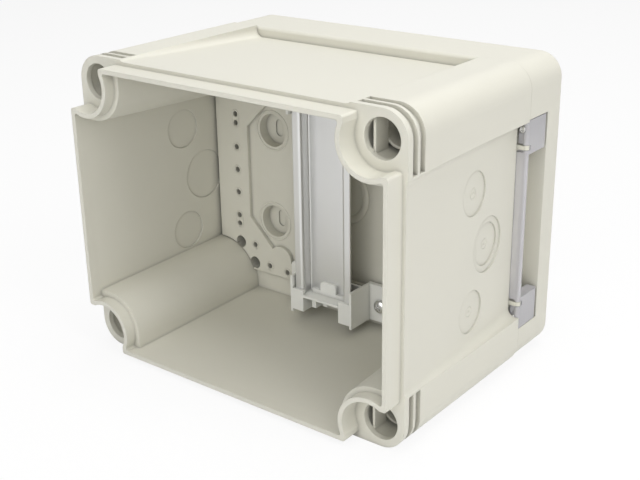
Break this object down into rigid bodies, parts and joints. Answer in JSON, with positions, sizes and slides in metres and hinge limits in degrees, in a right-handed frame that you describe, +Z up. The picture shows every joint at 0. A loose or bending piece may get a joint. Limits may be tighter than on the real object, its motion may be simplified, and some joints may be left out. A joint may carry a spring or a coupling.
{
  "type": "modular device enclosure",
  "caption": "Deep wall enclosure for rail-mounted devices, open at the front, with a hinged rear shell held by clear side strips.",
  "frame": {"origin": "middle of the bottom of the bounding box, on the surface that the enclosure stands on", "axes": "+X to the right across the front, +Y from the open front to the rear shell, +Z up along the rail"},
  "size_m": [0.1882, 0.1414, 0.1512],
  "materials": {
    "shell": "matte moulded, light warm grey",
    "bracket": "matte moulded, light grey",
    "clear": "clear polycarbonate, polished",
    "rail": "zinc plated, satin",
    "screw": "zinc plated",
    "seal": "soft foamed rubber"
  },
  "bodies": {
    "housing": {"housing": "shell", "din_rail": "rail", "lower_rail_bracket": "bracket", "upper_rail_bracket": "bracket", "lower_bracket_screws": "screw", "upper_bracket_screws": "screw", "right_strip_pin": "screw", "left_strip_pin": "screw"},
    "rear_shell": {"rear_shell": "shell", "rear_gasket": "seal", "right_strip": "clear", "strip_screws": "screw"},
    "left_strip": {"left_strip": "clear"}
  },
  "joints": [
    {"name": "rear_shell_hinge", "type": "hinge", "parent": "housing", "child": "rear_shell", "pos_m": [0.092, 0.03955, 0.0756], "axis": [0, 0, -1], "range_deg": [0, 90]},
    {"name": "left_strip_hinge", "type": "hinge", "parent": "housing", "child": "left_strip", "pos_m": [-0.092, 0.03955, 0.0756], "axis": [0, 0, 1], "range_deg": [0, 90]}
  ]
}
